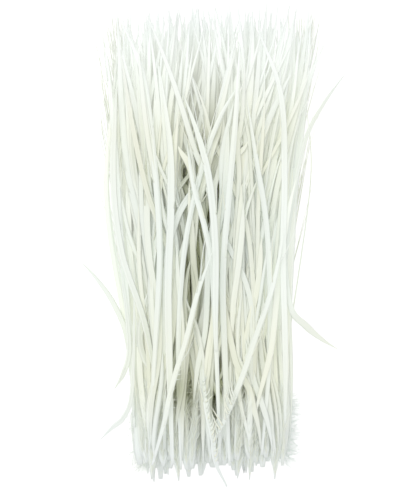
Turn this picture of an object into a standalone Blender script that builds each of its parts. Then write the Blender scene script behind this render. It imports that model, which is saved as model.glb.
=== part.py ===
"""Bunch of long, slender white feathers, lying flat with the quill ends together.

The feathers run along Y with their tips at +Y, X is across the bunch and Z is up.
The bunch rests on its lowest feathers. All lengths are in metres.

Three kinds of named piece make it up:
  bottom_lock_NN  locks of seven feathers that carry the bunch
  upper_lock_NN   locks of three feathers, laid in leaning layers on top
  the loose feathers, single ones that lie across the top or stray from the sides
A lock is a pleated sheet, a pleat to each feather, that forks into tips and quills.
"""

import math
import random

import bmesh
import bpy
from mathutils import Vector

# Driving dimensions of the bunch.
QUILL_END = -0.0885
TIP_END = 0.0890
LENGTH = TIP_END - QUILL_END
QUILL_HALF_WIDTH = 0.0290
TIP_HALF_WIDTH = 0.0370
MIDDLE_AT_QUILLS = 0.0020
MIDDLE_SWAY = -0.0038
MIDDLE_AT_TIPS = 0.0016
CENTRE_SHIFT = Vector((-0.0024, -0.0002, 0.0))

# Driving dimensions of a feather and of a layer of feathers.
BLADE_THICKNESS = 0.00045
PLEAT_HEIGHT = 0.00055
LAYER_PITCH = 0.00165
TIP_FLUFF = 0.00030
SIDE_DROOP = 0.10
LOCK_GAP = 0.0006
QUILL_SHARE = 0.42
QUILL_ROWS = 2
WELD = 1e-6

# Places along the feathers, as shares of the bunch's length from the quill end.
QUILL_FORK = 0.17
TIP_FORK = 0.58
FAN_START = 0.25
FAN_END = 0.85
SWAY_PLACE = 0.58
SWAY_REACH = 0.27
LEAN_START = 0.30
FLUFF_START = 0.40
FIRST_QUILL = 0.006
QUILL_SPREAD = 0.058
SHORTEST_TIP = 0.80
LONGEST_TIP = 0.995

# How each of those runs: the lean gathers towards the tips, a few quills end low, most tips
# end high, and the blades narrow faster the nearer they are to the point.
LEAN_POWER = 1.4
QUILL_SKEW = 0.4
TIP_SKEW = 0.5
TAPER_POWER = 1.6
DRAW_SEED = 11

# How far a tip strays: sideways as a share of the half width, and upwards.
TIP_DRIFT = 0.026
TIP_LIFT = 0.0005

# The rounded corner at the right of the quill end.
CORNER_START = 0.014
CORNER_WIDTH = 0.020
CORNER_RISE = 0.055

# The four lowest layers: how far they reach to the sides, as a share of the half width,
# the lean of the tips, and the bow of the middle, to the right.
BOTTOM_LAYERS = (
    {"reach": 0.90, "lean": 0.0000, "bow": 0.0000},
    {"reach": 0.96, "lean": -0.0060, "bow": 0.0010},
    {"reach": 0.99, "lean": 0.0070, "bow": -0.0010},
    {"reach": 0.97, "lean": -0.0080, "bow": 0.0015},
)
BOTTOM_LOCKS = 3
BOTTOM_BLADES = 7
BOTTOM_ROWS = 2

# The upper layers, with the place of each lock as a share of the half width.
# The three highest leave the middle open, as a cleft.
UPPER_LAYERS = (
    {"locks": (-0.86, -0.57, -0.29, 0.0, 0.29, 0.57, 0.86), "lean": 0.0090, "bow": -0.0010},
    {"locks": (-0.80, -0.49, -0.19, 0.16, 0.48, 0.79), "lean": -0.0090, "bow": 0.0010},
    {"locks": (-0.75, -0.46, -0.18, 0.19, 0.47, 0.75), "lean": 0.0085, "bow": -0.0015},
    {"locks": (-0.64, -0.35, 0.20, 0.46, 0.71), "lean": -0.0085, "bow": 0.0010},
    {"locks": (-0.50, 0.27, 0.55), "lean": 0.0080, "bow": -0.0005},
    {"locks": (-0.36, 0.38), "lean": -0.0070, "bow": 0.0005},
)
UPPER_BLADES = 3
UPPER_ROWS = 3
UPPER_LOCK_WIDTH = 0.0080

# Single feathers, laid in this order, first those that stray from the sides and then those
# on top: the greatest width in millimetres, and the places in X and Y seen from above, tip
# first, in millimetres.
LOOSE_FEATHERS = {
    "left_flare_feather": {
        "width": 2.0,
        "places": (
            (-47.7, -5.8), (-40.5, -13.5), (-34.4, -22.0),
            (-29.7, -33.0), (-27.5, -49.0), (-26.8, -67.0),
        ),
    },
    "upper_left_feather": {
        "width": 2.2,
        "places": (
            (-38.5, 77.0), (-35.8, 59.0), (-33.3, 34.0),
            (-31.5, 5.0), (-28.6, -27.5), (-27.0, -63.0),
        ),
    },
    "upper_right_feather": {
        "width": 2.2,
        "places": ((44.0, 77.0), (37.6, 61.0), (32.2, 44.5), (28.6, 28.0), (26.8, 5.0), (26.0, -31.0)),
    },
    "top_stray_feather": {
        "width": 2.2,
        "places": ((52.5, 65.0), (43.0, 52.0), (35.5, 38.0), (31.0, 18.0), (28.0, -8.0), (27.0, -40.0)),
    },
    "right_stray_feather": {
        "width": 1.8,
        "places": ((28.0, 22.0), (28.0, -6.0), (30.0, -23.0), (35.5, -29.5), (42.0, -35.0), (49.0, -39.5)),
    },
    "left_stray_feather": {
        "width": 1.8,
        "places": (
            (-31.5, 15.0), (-31.0, -8.0), (-29.0, -28.0),
            (-28.5, -40.0), (-31.0, -48.0), (-35.0, -54.5),
        ),
    },
    "left_low_stray_feather": {
        "width": 1.8,
        "places": (
            (-26.5, -6.0), (-26.5, -36.0), (-27.5, -55.0),
            (-30.5, -63.0), (-35.5, -68.0), (-40.5, -73.5),
        ),
    },
    "swept_feather": {
        "width": 2.3,
        "places": ((10.0, 73.5), (5.0, 52.0), (0.0, 28.0), (-11.0, 9.0), (-15.0, -14.0), (-15.5, -74.0)),
    },
    "slim_feather": {
        "width": 1.8,
        "places": ((11.5, 57.5), (3.5, 43.0), (-3.0, 23.5), (-8.5, -4.0), (-10.5, -40.0), (-9.5, -81.0)),
    },
    "right_edge_feather": {
        "width": 2.2,
        "places": ((17.5, 77.5), (26.0, 54.0), (27.5, 25.0), (27.0, -5.0), (28.0, -43.0), (28.0, -65.0)),
    },
    "left_long_feather": {
        "width": 2.2,
        "places": (
            (-31.0, 80.5), (-23.0, 60.0), (-19.0, 29.0),
            (-17.0, -2.0), (-18.5, -34.0), (-21.0, -74.0),
        ),
    },
    "left_broad_feather": {
        "width": 2.6,
        "places": (
            (-17.0, 62.0), (-13.5, 36.0), (-13.0, 14.0),
            (-14.0, -16.0), (-13.5, -46.0), (-12.5, -79.0),
        ),
    },
    "right_long_feather": {
        "width": 2.2,
        "places": ((11.5, 72.0), (10.0, 45.0), (7.5, 16.0), (5.5, -12.0), (6.5, -48.0), (8.0, -79.5)),
    },
    "right_leaning_feather": {
        "width": 2.0,
        "places": ((14.0, 52.0), (17.5, 30.0), (21.0, 8.0), (22.5, -18.0), (22.0, -46.0), (19.5, -76.0)),
    },
    "crossing_feather": {
        "width": 1.9,
        "places": ((-8.0, 41.0), (-5.0, 21.0), (-1.0, 6.0), (1.5, -8.0), (3.0, -35.0), (4.5, -77.0)),
    },
    "centre_feather": {
        "width": 2.4,
        "places": ((-8.8, 54.0), (-2.5, 36.0), (1.0, 20.0), (2.7, 0.0), (2.8, -20.0), (3.0, -38.0)),
    },
    "left_diagonal_feather": {
        "width": 1.9,
        "places": (
            (2.0, -2.0), (-3.5, -17.5), (-7.5, -33.5),
            (-12.5, -50.0), (-15.5, -64.0), (-20.0, -80.0),
        ),
    },
    "right_diagonal_feather": {
        "width": 2.0,
        "places": ((27.5, 6.0), (23.5, -14.0), (17.5, -32.0), (13.5, -44.0), (8.0, -58.0), (2.5, -70.0)),
    },
    "low_curved_feather": {
        "width": 1.7,
        "places": ((-1.5, -24.0), (-2.3, -42.0), (-0.5, -58.0), (1.8, -69.0), (3.0, -78.0), (7.0, -87.3)),
    },
}
MILLIMETRE = 0.001
LOOSE_ROWS = 7
LOOSE_PLEAT = 0.00040
LOOSE_TIP_SHARE = 0.04
LOOSE_TIP_LENGTH = 0.34
LOOSE_QUILL_START = 0.72
LOOSE_QUILL_FULL = 0.97
REST_GAP = 0.0006
SIDE_MARGIN = 0.0013
ROW_STEPS = 6
PATH_STEPS = LOOSE_ROWS * ROW_STEPS

IVORY = (0.80, 0.80, 0.70, 1.0)
WHITE = (0.88, 0.88, 0.81, 1.0)
SHADE_IVORY = (0.72, 0.72, 0.60, 1.0)


def smooth(x):
    """0 below 0, 1 above 1 and a soft S between."""
    x = min(1.0, max(0.0, x))
    return x * x * (3.0 - 2.0 * x)


def half_width(share):
    """Half the bunch's width at a share of its length: it fans out towards the tips."""
    fan = smooth((share - FAN_START) / (FAN_END - FAN_START))
    return QUILL_HALF_WIDTH + (TIP_HALF_WIDTH - QUILL_HALF_WIDTH) * fan


def centre_x(share):
    """The bunch's middle line, which sways left at mid length and back again at the tips."""
    sway = math.exp(-(((share - SWAY_PLACE) / SWAY_REACH) ** 2))
    tips = smooth((share - SWAY_PLACE) / (1.0 - SWAY_PLACE))
    return MIDDLE_AT_QUILLS + MIDDLE_SWAY * sway + MIDDLE_AT_TIPS * tips


def pitch(share):
    """Height of one layer: the tips stand looser than the quills."""
    return LAYER_PITCH + TIP_FLUFF * smooth((share - FLUFF_START) / (1.0 - FLUFF_START))


def sheet_x(layer, across, share):
    """X of a place in a layer; across is a share of the half width, left to right.

    The lean is strongest in the middle of the layer, so feathers never cross within it.
    """
    lean = layer["lean"] * (1.0 - across * across) * lean_growth(share)
    bow = layer["bow"] * math.sin(math.pi * share)
    return centre_x(share) + half_width(share) * across + lean + bow


def lean_growth(share):
    """How far the lean has come at a share of the length: nothing low down, all at the tips."""
    along = max(0.0, share - LEAN_START) / (1.0 - LEAN_START)
    return along**LEAN_POWER


def sheet_z(level, x, share):
    """Underside of a layer, which droops a little towards the sides of the bunch."""
    off_centre = (x - centre_x(share)) / half_width(share)
    return level * pitch(share) * (1.0 - SIDE_DROOP * off_centre * off_centre)


def share_of(y):
    """Share of the bunch's length at a place in Y."""
    return (y - QUILL_END) / LENGTH


def quill_share(x, draw):
    """Where a feather's quill ends: uneven, and higher up at the right-hand corner."""
    corner = max(0.0, x - CORNER_START) / CORNER_WIDTH
    return FIRST_QUILL + QUILL_SPREAD * draw.random() ** QUILL_SKEW + CORNER_RISE * corner * corner


def tip_share(draw):
    """Where a feather's tip ends: mostly near the full length, some well short of it."""
    return SHORTEST_TIP + (LONGEST_TIP - SHORTEST_TIP) * draw.random() ** TIP_SKEW


def plan_lock(name, level, layer, middle, width, blades, rows, draw):
    """All that a lock needs: its edges across, and each feather's ends and bend.

    rows counts the rows of its middle, and as many again of its tips.
    """
    edges = [middle - width / 2.0 + width * i / blades for i in range(blades + 1)]
    feathers = []
    for left, right in zip(edges, edges[1:]):
        x = sheet_x(layer, (left + right) / 2.0, QUILL_FORK)
        feathers.append(
            {
                "left": left,
                "right": right,
                "quill": quill_share(x, draw),
                "tip": tip_share(draw),
                "drift": draw.uniform(-TIP_DRIFT, TIP_DRIFT),
                "lift": draw.uniform(0.0, TIP_LIFT),
            }
        )
    return {
        "name": name,
        "level": level,
        "layer": layer,
        "edges": edges,
        "feathers": feathers,
        "rows": rows,
        "pleat": PLEAT_HEIGHT if level else 0.0,
    }


def plan_locks():
    """Every lock from the lowest layer up."""
    draw = random.Random(DRAW_SEED)
    locks = []
    for level, layer in enumerate(BOTTOM_LAYERS):
        step = 2.0 * layer["reach"] / BOTTOM_LOCKS
        for i in range(BOTTOM_LOCKS):
            middle = -layer["reach"] + step * (i + 0.5)
            width = step - LOCK_GAP / QUILL_HALF_WIDTH
            name = f"bottom_lock_{len(locks) + 1:02d}"
            locks.append(plan_lock(name, level, layer, middle, width, BOTTOM_BLADES, BOTTOM_ROWS, draw))
    number = 0
    for level, layer in enumerate(UPPER_LAYERS, start=len(BOTTOM_LAYERS)):
        for middle in layer["locks"]:
            number += 1
            width = UPPER_LOCK_WIDTH / half_width(0.5)
            name = f"upper_lock_{number:02d}"
            locks.append(plan_lock(name, level, layer, middle, width, UPPER_BLADES, UPPER_ROWS, draw))
    return locks


def row_shares(lock, feather):
    """Shares of the length at a feather's rows, quill end first. The middle rows are common to a lock."""
    quill = feather["quill"]
    tip = feather["tip"]
    rows = lock["rows"]
    shares = [quill + (QUILL_FORK - quill) * i / QUILL_ROWS for i in range(QUILL_ROWS)]
    shares += [QUILL_FORK + (TIP_FORK - QUILL_FORK) * i / rows for i in range(rows + 1)]
    shares += [TIP_FORK + (tip - TIP_FORK) * i / rows for i in range(1, rows + 1)]
    return shares


def taper(share, feather):
    """Share of its full width that a feather has: narrow at the quill, a point at the tip."""
    if share < QUILL_FORK:
        rise = smooth((share - feather["quill"]) / (QUILL_FORK - feather["quill"]))
        return QUILL_SHARE + (1.0 - QUILL_SHARE) * rise
    if share > TIP_FORK:
        return 1.0 - ((share - TIP_FORK) / (feather["tip"] - TIP_FORK)) ** TAPER_POWER
    return 1.0


def tip_bend(share, feather):
    """How far along its free end a place is, squared, for the bend of a tip."""
    along = max(0.0, share - TIP_FORK) / (feather["tip"] - TIP_FORK)
    return along * along


def lock_corner(lock, feather, side, share, pleat_up):
    """A point on a feather's edge; side is -1 at the left edge and 1 at the right."""
    middle = (feather["left"] + feather["right"]) / 2.0
    half = (feather["right"] - feather["left"]) / 2.0 * taper(share, feather)
    bend = tip_bend(share, feather)
    x = sheet_x(lock["layer"], middle + side * half + feather["drift"] * bend, share)
    z = sheet_z(lock["level"], x, share) + feather["lift"] * bend
    z += pleat_up * lock["pleat"] * taper(share, feather)
    return Vector((x, QUILL_END + LENGTH * share, z))


def forked_grid(columns, rows, low_fork, high_fork):
    """A flat grid cut along its inner column lines below low_fork and above high_fork.

    Returns it with the integer layers that hold each corner's column and row.
    """
    mesh = bmesh.new()
    bmesh.ops.create_grid(mesh, x_segments=columns, y_segments=rows, size=0.5)
    column_of = mesh.verts.layers.int.new("column")
    row_of = mesh.verts.layers.int.new("row")
    for vert in mesh.verts:
        vert[column_of] = round((vert.co.x + 0.5) * columns)
        vert[row_of] = round((vert.co.y + 0.5) * rows)
    cuts = []
    for edge in mesh.edges:
        first, second = edge.verts
        along_column = first[column_of] == second[column_of]
        inner = 0 < first[column_of] < columns
        lowest = min(first[row_of], second[row_of])
        if along_column and inner and (lowest < low_fork or lowest >= high_fork):
            cuts.append(edge)
    bmesh.ops.split_edges(mesh, edges=cuts)
    return mesh, column_of, row_of


def lane_of(vert, column_of):
    """Number of the leftmost pleat that a corner belongs to."""
    return min(min(v[column_of] for v in face.verts) for face in vert.link_faces)


def solid_from(mesh, name, thickness, collection, material):
    """A named object: the open sheet, thickened upwards into a closed solid."""
    bmesh.ops.remove_doubles(mesh, verts=mesh.verts, dist=WELD)
    bmesh.ops.recalc_face_normals(mesh, faces=mesh.faces)
    if sum((face.normal.z for face in mesh.faces)) < 0.0:
        bmesh.ops.reverse_faces(mesh, faces=mesh.faces)
    data = bpy.data.meshes.new(name)
    mesh.to_mesh(data)
    mesh.free()
    obj = bpy.data.objects.new(name, data)
    collection.objects.link(obj)
    obj.location = CENTRE_SHIFT
    data.materials.append(material)
    shell = obj.modifiers.new("Blade thickness", "SOLIDIFY")
    shell.thickness = thickness
    shell.offset = 1.0
    shell.use_even_offset = False
    return obj


def build_lock(lock, collection, material):
    """One lock: a pleat to each feather, joined in the middle and parted at both ends."""
    blades = len(lock["feathers"])
    shares = [row_shares(lock, feather) for feather in lock["feathers"]]
    rows = len(shares[0]) - 1
    high_fork = QUILL_ROWS + lock["rows"]
    mesh, column_of, row_of = forked_grid(blades, rows, QUILL_ROWS, high_fork)
    for vert in mesh.verts:
        lane = lane_of(vert, column_of)
        side = -1 if vert[column_of] == lane else 1
        share = shares[lane][vert[row_of]]
        vert.co = lock_corner(lock, lock["feathers"][lane], side, share, vert[column_of] % 2)
    return solid_from(mesh, lock["name"], BLADE_THICKNESS, collection, material)


def path_through(points, count):
    """The curve's count + 1 places, evenly spread from point to point (Catmull-Rom)."""
    ends = [points[0] * 2 - points[1], *points, points[-1] * 2 - points[-2]]
    spans = len(points) - 1
    places = []
    for i in range(count + 1):
        at = min(spans - 1e-9, spans * i / count)
        k = int(at)
        t = at - k
        a, b, c, d = ends[k : k + 4]
        places.append(
            0.5
            * (
                2 * b
                + (c - a) * t
                + (2 * a - 5 * b + 4 * c - d) * t * t
                + (3 * b - a - 3 * c + d) * t**3
            )
        )
    return places


def lock_top(lock, x, share):
    """Top of a lock under a place, or 0 where the lock doesn't reach it."""
    longest = max(feather["tip"] for feather in lock["feathers"])
    if not 0.0 <= share <= longest:
        return 0.0
    left = sheet_x(lock["layer"], lock["edges"][0], share) - SIDE_MARGIN
    right = sheet_x(lock["layer"], lock["edges"][-1], share) + SIDE_MARGIN
    if not left <= x <= right:
        return 0.0
    lift = TIP_LIFT * smooth((share - TIP_FORK) / (1.0 - TIP_FORK))
    return sheet_z(lock["level"], x, share) + lock["pleat"] + BLADE_THICKNESS + lift


def loose_width(along, width):
    """Width of a loose feather: along runs from 0 at the tip to 1 at the quill."""
    body = LOOSE_TIP_SHARE + (1.0 - LOOSE_TIP_SHARE) * smooth(along / LOOSE_TIP_LENGTH)
    narrowing = smooth((along - LOOSE_QUILL_START) / (LOOSE_QUILL_FULL - LOOSE_QUILL_START))
    return width * body * (1.0 - (1.0 - QUILL_SHARE) * narrowing)


def straight_over(heights):
    """The lowest line, bent downwards only, that stays above all heights: a stiff blade at rest."""
    hull = []
    for i, height in enumerate(heights):
        while len(hull) > 1:
            (i0, h0), (i1, h1) = hull[-2:]
            if (h1 - h0) * (i - i0) > (height - h0) * (i1 - i0):
                break
            hull.pop()
        hull.append((i, height))
    line = []
    for (i0, h0), (i1, h1) in zip(hull, hull[1:]):
        line += [h0 + (h1 - h0) * (i - i0) / (i1 - i0) for i in range(i0, i1)]
    return line + [hull[-1][1]]


def between_rows(values):
    """Values at the rows of a loose feather, filled in with straight runs of steps between them."""
    filled = []
    for first, second in zip(values, values[1:]):
        filled += [first + (second - first) * i / ROW_STEPS for i in range(ROW_STEPS)]
    return filled + [values[-1]]


def row_heights(line):
    """Heights at the rows only, raised so that the straight runs between them clear the line."""
    rows = line[::ROW_STEPS]
    straight = between_rows(rows)
    short = [line[i] - straight[i] for i in range(PATH_STEPS + 1)]
    raised = []
    for row, height in enumerate(rows):
        first = max(0, (row - 1) * ROW_STEPS)
        raised.append(height + max(short[first : (row + 1) * ROW_STEPS + 1]))
    return raised


def plan_loose(locks):
    """Each loose feather's line in space, laid in turn on the locks and feathers below it."""
    laid = []
    for name, plan in LOOSE_FEATHERS.items():
        width = plan["width"] * MILLIMETRE
        corners = [Vector((x, y, 0.0)) * MILLIMETRE for x, y in plan["places"]]
        places = between_rows(path_through(corners, LOOSE_ROWS))
        heights = []
        for i, place in enumerate(places):
            half = loose_width(i / PATH_STEPS, width) / 2.0
            share = share_of(place.y)
            under = [0.0]
            for reach in (-half, 0.0, half):
                under += [lock_top(lock, place.x + reach, share) for lock in locks]
            for other in laid:
                for j, spot in enumerate(other["places"]):
                    apart = (spot.xy - place.xy).length
                    room = half + loose_width(j / PATH_STEPS, other["width"]) / 2.0 + 2.0 * SIDE_MARGIN
                    if apart < room:
                        under.append(spot.z + LOOSE_PLEAT + BLADE_THICKNESS)
            heights.append(max(under) + REST_GAP)
        for place, height in zip(places, between_rows(row_heights(straight_over(heights)))):
            place.z = height
        laid.append({"name": name, "width": width, "places": places})
    return laid


def build_loose(feather, collection, material):
    """A single feather: two half vanes that meet in a raised ridge, all along its line."""
    mesh, column_of, row_of = forked_grid(2, LOOSE_ROWS, 0, LOOSE_ROWS)
    places = feather["places"]
    for vert in mesh.verts:
        step = vert[row_of] * ROW_STEPS
        before = places[max(0, step - 1)]
        after = places[min(PATH_STEPS, step + 1)]
        run = (after - before).normalized()
        across = run.cross(Vector((0.0, 0.0, 1.0))).normalized()
        half = loose_width(step / PATH_STEPS, feather["width"]) / 2.0
        side = vert[column_of] - 1
        ridge = 0.0 if side else LOOSE_PLEAT * half / (feather["width"] / 2.0)
        vert.co = places[step] + across * half * side + Vector((0.0, 0.0, ridge))
    return solid_from(mesh, feather["name"], BLADE_THICKNESS, collection, material)


def keratin(name, colour, roughness):
    """Smooth, slightly glossy feather horn in one colour."""
    material = bpy.data.materials.new(name)
    material.use_nodes = True
    shader = material.node_tree.nodes["Principled BSDF"]
    shader.inputs["Base Color"].default_value = colour
    shader.inputs["Roughness"].default_value = roughness
    shader.inputs["Metallic"].default_value = 0.0
    return material


def main():
    for obj in list(bpy.data.objects):
        bpy.data.objects.remove(obj)
    bunch = bpy.data.collections.new("Feather bunch")
    bpy.context.scene.collection.children.link(bunch)
    shaded = keratin("Shaded ivory", SHADE_IVORY, 0.60)
    ivory = keratin("Ivory", IVORY, 0.55)
    white = keratin("White", WHITE, 0.50)
    locks = plan_locks()
    for lock in locks:
        build_lock(lock, bunch, shaded if lock["name"].startswith("bottom") else ivory)
    for feather in plan_loose(locks):
        build_loose(feather, bunch, white)


main()
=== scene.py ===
import math
import random

import bpy
import numpy as np
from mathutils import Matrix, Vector


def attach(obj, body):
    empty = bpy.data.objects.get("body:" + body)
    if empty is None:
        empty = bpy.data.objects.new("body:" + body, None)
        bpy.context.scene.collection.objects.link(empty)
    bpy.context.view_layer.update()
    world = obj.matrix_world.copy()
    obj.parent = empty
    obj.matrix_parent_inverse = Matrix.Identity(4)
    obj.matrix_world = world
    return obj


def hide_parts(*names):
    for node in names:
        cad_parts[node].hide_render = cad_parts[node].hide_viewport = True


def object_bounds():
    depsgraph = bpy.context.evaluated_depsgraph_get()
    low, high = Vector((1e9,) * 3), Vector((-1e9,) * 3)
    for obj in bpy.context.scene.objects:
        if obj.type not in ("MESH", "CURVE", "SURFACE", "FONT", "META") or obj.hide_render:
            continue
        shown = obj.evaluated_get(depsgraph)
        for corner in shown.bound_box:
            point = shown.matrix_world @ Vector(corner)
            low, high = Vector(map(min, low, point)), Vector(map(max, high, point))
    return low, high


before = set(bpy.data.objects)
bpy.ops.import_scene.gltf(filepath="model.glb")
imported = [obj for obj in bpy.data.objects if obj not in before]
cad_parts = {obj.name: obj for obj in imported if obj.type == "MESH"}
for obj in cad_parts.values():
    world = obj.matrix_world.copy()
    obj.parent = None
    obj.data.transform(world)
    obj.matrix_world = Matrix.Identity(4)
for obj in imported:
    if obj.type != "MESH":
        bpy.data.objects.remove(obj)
cadLow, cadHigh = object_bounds()
print("frame loaded:", len(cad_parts), "solids")

# The bunch's layout, in metres and in shares of its length, the same as the solids have.
bunch = {
    "quillEnd": -0.0885,
    "tipEnd": 0.0890,
    "quillHalfWidth": 0.0290,
    "tipHalfWidth": 0.0370,
    "fanStart": 0.25,
    "fanEnd": 0.85,
    "middleAtQuills": 0.0020,
    "middleSway": -0.0038,
    "middleAtTips": 0.0016,
    "swayPlace": 0.58,
    "swayReach": 0.27,
    "leanStart": 0.30,
    "leanPower": 1.4,
    "layerPitch": 0.00165,
    "tipFluff": 0.00030,
    "fluffStart": 0.40,
    "sideDroop": 0.10,
    "quillFork": 0.17,
    "tipFork": 0.58,
    "firstQuill": 0.006,
    "quillSpread": 0.058,
    "quillSkew": 0.4,
    "cornerStart": 0.014,
    "cornerWidth": 0.020,
    "cornerRise": 0.055,
    "shortestTip": 0.80,
    "longestTip": 0.995,
    "tipSkew": 0.5,
    "tipDrift": 0.026,
    "tipLift": 0.0005,
    "drawSeed": 11,
    "shiftX": -0.0024,
    "shiftY": -0.0002,
}
bunchLength = bunch["tipEnd"] - bunch["quillEnd"]

bottomLayers = {
    "lockCount": 3,
    "bladesPerLock": 7,
    "lockGap": 0.0006,
    "layers": (
        {"reach": 0.90, "lean": 0.0000, "bow": 0.0000},
        {"reach": 0.96, "lean": -0.0060, "bow": 0.0010},
        {"reach": 0.99, "lean": 0.0070, "bow": -0.0010},
        {"reach": 0.97, "lean": -0.0080, "bow": 0.0015},
    ),
}
upperLayers = {
    "bladesPerLock": 3,
    "lockWidth": 0.0080,
    "layers": (
        {"locks": (-0.86, -0.57, -0.29, 0.0, 0.29, 0.57, 0.86), "lean": 0.0090, "bow": -0.0010},
        {"locks": (-0.80, -0.49, -0.19, 0.16, 0.48, 0.79), "lean": -0.0090, "bow": 0.0010},
        {"locks": (-0.75, -0.46, -0.18, 0.19, 0.47, 0.75), "lean": 0.0085, "bow": -0.0015},
        {"locks": (-0.64, -0.35, 0.20, 0.46, 0.71), "lean": -0.0085, "bow": 0.0010},
        {"locks": (-0.50, 0.27, 0.55), "lean": 0.0080, "bow": -0.0005},
        {"locks": (-0.36, 0.38), "lean": -0.0070, "bow": 0.0005},
    ),
}


def smooth(x):
    x = min(1.0, max(0.0, x))
    return x * x * (3.0 - 2.0 * x)


def halfWidth(share):
    fan = smooth((share - bunch["fanStart"]) / (bunch["fanEnd"] - bunch["fanStart"]))
    return bunch["quillHalfWidth"] + (bunch["tipHalfWidth"] - bunch["quillHalfWidth"]) * fan


def centreX(share):
    sway = math.exp(-(((share - bunch["swayPlace"]) / bunch["swayReach"]) ** 2))
    tips = smooth((share - bunch["swayPlace"]) / (1.0 - bunch["swayPlace"]))
    return bunch["middleAtQuills"] + bunch["middleSway"] * sway + bunch["middleAtTips"] * tips


def shareAt(y):
    return (y - bunch["shiftY"] - bunch["quillEnd"]) / bunchLength


def tipwardAt(y):
    return min(1.0, max(0.0, (y - bunch["quillEnd"]) / bunchLength))


def placeY(share):
    return bunch["quillEnd"] + bunchLength * share + bunch["shiftY"]


def layerPitch(share):
    fluff = smooth((share - bunch["fluffStart"]) / (1.0 - bunch["fluffStart"]))
    return bunch["layerPitch"] + bunch["tipFluff"] * fluff


def sheetX(layer, across, share):
    along = max(0.0, share - bunch["leanStart"]) / (1.0 - bunch["leanStart"])
    lean = layer["lean"] * (1.0 - across * across) * along ** bunch["leanPower"]
    bow = layer["bow"] * math.sin(math.pi * share)
    return centreX(share) + halfWidth(share) * across + lean + bow


def sheetZ(level, x, share):
    offCentre = (x - centreX(share)) / halfWidth(share)
    return level * layerPitch(share) * (1.0 - bunch["sideDroop"] * offCentre * offCentre)


def planLock(name, level, layer, middle, width, blades, draw):
    edges = [middle - width / 2.0 + width * i / blades for i in range(blades + 1)]
    feathers = []
    for left, right in zip(edges, edges[1:]):
        x = sheetX(layer, (left + right) / 2.0, bunch["quillFork"])
        corner = max(0.0, x - bunch["cornerStart"]) / bunch["cornerWidth"]
        quill = bunch["firstQuill"] + bunch["quillSpread"] * draw.random() ** bunch["quillSkew"]
        tipRange = bunch["longestTip"] - bunch["shortestTip"]
        feathers.append({
            "left": left,
            "right": right,
            "quill": quill + bunch["cornerRise"] * corner * corner,
            "tip": bunch["shortestTip"] + tipRange * draw.random() ** bunch["tipSkew"],
            "drift": draw.uniform(-bunch["tipDrift"], bunch["tipDrift"]),
            "lift": draw.uniform(0.0, bunch["tipLift"]),
        })
    return {"name": name, "level": level, "layer": layer, "middle": middle, "feathers": feathers}


def planLocks():
    draw = random.Random(bunch["drawSeed"])       # the same draws as the solids were made with
    locks = []
    blades = bottomLayers["bladesPerLock"]
    for level, layer in enumerate(bottomLayers["layers"]):
        step = 2.0 * layer["reach"] / bottomLayers["lockCount"]
        for i in range(bottomLayers["lockCount"]):
            middle = -layer["reach"] + step * (i + 0.5)
            width = step - bottomLayers["lockGap"] / bunch["quillHalfWidth"]
            name = f"bottom_lock_{len(locks) + 1:02d}"
            locks.append(planLock(name, level, layer, middle, width, blades, draw))
    number = 0
    blades = upperLayers["bladesPerLock"]
    width = upperLayers["lockWidth"] / halfWidth(0.5)
    for level, layer in enumerate(upperLayers["layers"], start=len(bottomLayers["layers"])):
        for middle in layer["locks"]:
            number += 1
            name = f"upper_lock_{number:02d}"
            locks.append(planLock(name, level, layer, middle, width, blades, draw))
    return locks


# Painted shade: how deep in the bunch a place is, 0 at its outside, 1 well inside it; deeper strands are
# painted darker olive, where shade falls.
depthShade = {
    "topLevel": 9.7,                              # layers at the middle of the mound
    "sideFall": 6.0,                              # layers fewer at its sides
    "clearDepth": 0.0025,
    "fullDepth": 0.0100,
    "sideReach": 0.0140,
    "quillReach": 0.20,
    "tipReach": 0.30,
}
# Hollows of the bunch, where deeper painted shade is laid on the strands: middle, half sizes and added
# depth.
shadeHollows = np.array((
    (-0.0134, -0.0570, 0.0065, 0.0150, 0.0060),
    (-0.0120, -0.0200, 0.0075, 0.0300, 0.0032),
    (0.0004, -0.0560, 0.0040, 0.0130, 0.0055),
    (0.0106, -0.0520, 0.0026, 0.0090, 0.0035),
    (0.0022, 0.0400, 0.0045, 0.0160, 0.0045),
    (-0.0060, -0.0180, 0.0050, 0.0350, 0.0034),
    (-0.0060, 0.0150, 0.0060, 0.0200, 0.0025),
))
# Partings: narrow gaps between the upper strands, through which the lower strands show, with added painted
# shade on them.
# Each has its middle and half its length; the strands beside it give way to left and right,
# and further where a parting stands twice.
parting = {
    "firstLevel": 5,
    "push": 0.0013,
    "reach": 0.0034,
    "shadeWidth": 0.0018,
    "shadeDepth": 0.0040,
    "added": 0.0030,
}
partings = np.array((
    (-0.0110, 0.0258, 0.0055),
    (-0.0045, 0.0251, 0.0050),
    (0.0000, 0.0406, 0.0050),
    (-0.0029, 0.0348, 0.0035),
    (0.0013, 0.0185, 0.0090),
    (-0.0023, 0.0084, 0.0100),
    (-0.0055, -0.0070, 0.0090),
    (-0.0084, -0.0168, 0.0120),
    (0.0099, 0.0348, 0.0060),
    (-0.0166, -0.0280, 0.0150),
    (-0.0125, -0.0480, 0.0080),
    (-0.0089, -0.0510, 0.0130),
    (0.0017, -0.0466, 0.0060),
    (0.0008, -0.0590, 0.0080),
    (0.0008, -0.0590, 0.0080),
    (0.0110, -0.0535, 0.0100),
))


# Painted shade added in the hollows, as extra depth.
def shadeHollowDepth(x, y):
    apart = ((x - shadeHollows[:, 0]) / shadeHollows[:, 2]) ** 2
    apart += ((y - shadeHollows[:, 1]) / shadeHollows[:, 3]) ** 2
    return float((shadeHollows[:, 4] * np.exp(-apart)).sum())


# Painted shade laid on the strands below each parting, as extra depth.
def partingShadeDepth(x, y):
    apart = ((x - partings[:, 0]) / parting["shadeWidth"]) ** 2
    apart += ((y - partings[:, 1]) / partings[:, 2]) ** 2
    return parting["added"] * float(np.exp(-apart).max())


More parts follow.
